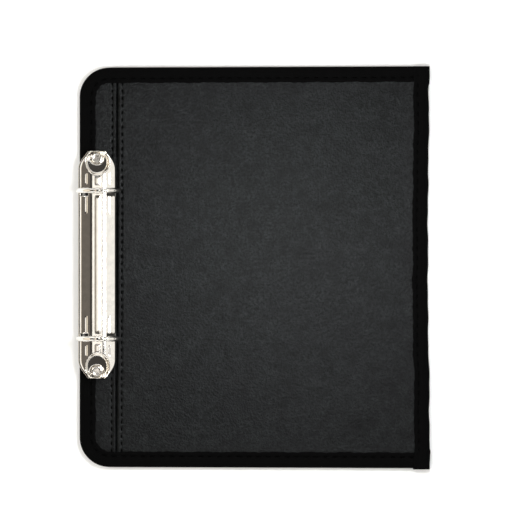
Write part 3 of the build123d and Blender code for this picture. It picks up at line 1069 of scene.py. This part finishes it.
class BINDER_OT_inner_finishes(bpy.types.Operator):
    """Finishes of the pieces that keep their CAD shape: stiffener boards and hinge plates"""

    bl_idname = "binder.inner_finishes"
    bl_label = "Boards and hinge plates"

    def execute(self, context):
        board = finish("board", board_material, context.scene.binder_leaf)
        steel = finish("steel", steel_material, context.scene.binder_metal)
        looks = {"spine_stiffener": board, "cover_stiffener": board}
        looks.update({"hinge_plate_left": steel, "hinge_plate_right": steel})
        for name, look in looks.items():
            for held in frame["nodes"][name].material_slots:
                held.material = look
        return {"FINISHED"}


# Stage

FLOOR_HALF, FLOOR_Z = 6.0, -0.3 * MM
# Each light's name, place, aim, width and height in metres, power in watts, tint, and whether
# it shows in reflections
LIGHTS = (
    ("strip softbox", (-0.075, 0, 0.3), (-0.075, 0, 0), (0.07, 0.124), 0.036, "#FFFBF6", True),
    ("near softbox", (0.036, 0.018, 0.26), (0.036, 0.018, 0), (0.1, 0.11), 0.58, "#F8FBFF", True),
    ("right wall", (1.5, 0, 1.1), (0, 0, 0), (3.2, 2.0), 22, "#FFFEFB", True),
    ("left wall", (-1.6, 0, 0.6), (0, 0, 0), (3.0, 1.1), 12, "#FFF3E0", True),
    ("left ceiling", (-1.2, 0, 1.5), (0, 0, 0), (3.0, 0.9), 1.0, "#FFF0E0", True),
    ("left fill", (-1.5, 0, 0.9), (0, 0, 0), (2.6, 1.4), 30, "#FFFFFF", False),
    ("head fill", (0, 1.8, 0.8), (0, 0, 0), (3.0, 1.2), 20, "#FFFFFF", True),
    ("tail fill", (0, -1.8, 0.8), (0, 0, 0), (3.0, 1.2), 20, "#FFFFFF", True),
)
SENSOR = 36.0
TARGET = Vector((7.5 * MM, 0.68 * MM, TOP_Z))
CAMERA_AWAY, CAMERA_LEAN = 4.0, math.radians(5.0)
COVERED = 288.9 * MM  # width of the scene in the frame


def softbox(name, place, aim, size, power, tint, gloss):
    """A rectangular light at a place, aimed at a point and unseen by the camera."""
    light = bpy.data.lights.new(name, "AREA")
    light.shape = "RECTANGLE"
    light.size, light.size_y = size
    light.energy = power
    light.color = linear(tint)[:3]
    lamp = bpy.data.objects.new(name, light)
    lamp.location = place
    lamp.rotation_euler = (Vector(aim) - Vector(place)).to_track_quat("-Z", "Y").to_euler()
    lamp.visible_camera = False
    lamp.visible_glossy = gloss
    bpy.context.scene.collection.objects.link(lamp)


class BINDER_OT_stage(bpy.types.Operator):
    """Pale floor, soft lights and a camera that looks down on the leaf"""

    bl_idname = "binder.stage"
    bl_label = "Stage"

    def execute(self, context):
        scene = context.scene
        mesh = bpy.data.meshes.new("floor")
        corners = ((-1, -1), (1, -1), (1, 1), (-1, 1))
        verts = [(x * FLOOR_HALF, y * FLOOR_HALF, FLOOR_Z) for x, y in corners]
        mesh.from_pydata(verts, [], [(0, 1, 2, 3)])
        pale = linear("#FAFAF8")
        mesh.materials.append(material("Pale floor", Roughness=0.9, Base_Color=pale)[0])
        floor = bpy.data.objects.new("floor", mesh)
        scene.collection.objects.link(floor)

        world = bpy.data.worlds.new("Soft studio")
        world.use_nodes = True
        back = world.node_tree.nodes["Background"]
        back.inputs["Color"].default_value = linear("#F2ECE6")
        back.inputs["Strength"].default_value = 0.07
        scene.world = world
        for light in LIGHTS:
            softbox(*light)

        # Far off and nearly overhead, leaning a few degrees towards the ring strip
        lean = Vector((-math.sin(CAMERA_LEAN), 0, math.cos(CAMERA_LEAN)))
        camera = bpy.data.cameras.new("camera")
        camera.sensor_width = SENSOR
        camera.lens = SENSOR * CAMERA_AWAY / COVERED
        camera.clip_end = 50.0
        view = bpy.data.objects.new("camera", camera)
        view.location = TARGET + CAMERA_AWAY * lean
        view.rotation_euler = (0, -CAMERA_LEAN, 0)
        scene.collection.objects.link(view)
        scene.camera = view
        scene.view_settings.view_transform = "Standard"
        return {"FINISHED"}


class BINDER_PT_panel(bpy.types.Panel):
    """Lists the binder's settings and pieces in the sidebar"""

    bl_idname = "BINDER_PT_panel"
    bl_label = "Ring binder leaf"
    bl_space_type = "VIEW_3D"
    bl_region_type = "UI"
    bl_category = "Binder"

    def draw(self, context):
        layout = self.layout
        for group in (context.scene.binder_leaf, context.scene.binder_metal):
            box = layout.box()
            for name in group.__annotations__:
                box.prop(group, name)
        for operator in OPERATORS:
            layout.operator(operator.bl_idname)


OPERATORS = (
    BINDER_OT_stage,
    BINDER_OT_leatherette,
    BINDER_OT_binding,
    BINDER_OT_sewing,
    BINDER_OT_housing,
    BINDER_OT_rings,
    BINDER_OT_rivets,
    BINDER_OT_inner_finishes,
)
CLASSES = (BinderLeafSettings, BinderMetalSettings) + OPERATORS + (BINDER_PT_panel,)


def register():
    for cls in CLASSES:
        bpy.utils.register_class(cls)
    bpy.types.Scene.binder_leaf = bpy.props.PointerProperty(type=BinderLeafSettings)
    bpy.types.Scene.binder_metal = bpy.props.PointerProperty(type=BinderMetalSettings)


def unregister():
    del bpy.types.Scene.binder_metal
    del bpy.types.Scene.binder_leaf
    for cls in reversed(CLASSES):
        bpy.utils.unregister_class(cls)


def main():
    register()
    bpy.ops.binder.stage()
    bpy.ops.binder.leatherette()
    bpy.ops.binder.binding()
    bpy.ops.binder.sewing()
    bpy.ops.binder.housing()
    bpy.ops.binder.rings()
    bpy.ops.binder.rivets()
    bpy.ops.binder.inner_finishes()


if __name__ == "__main__":
    main()
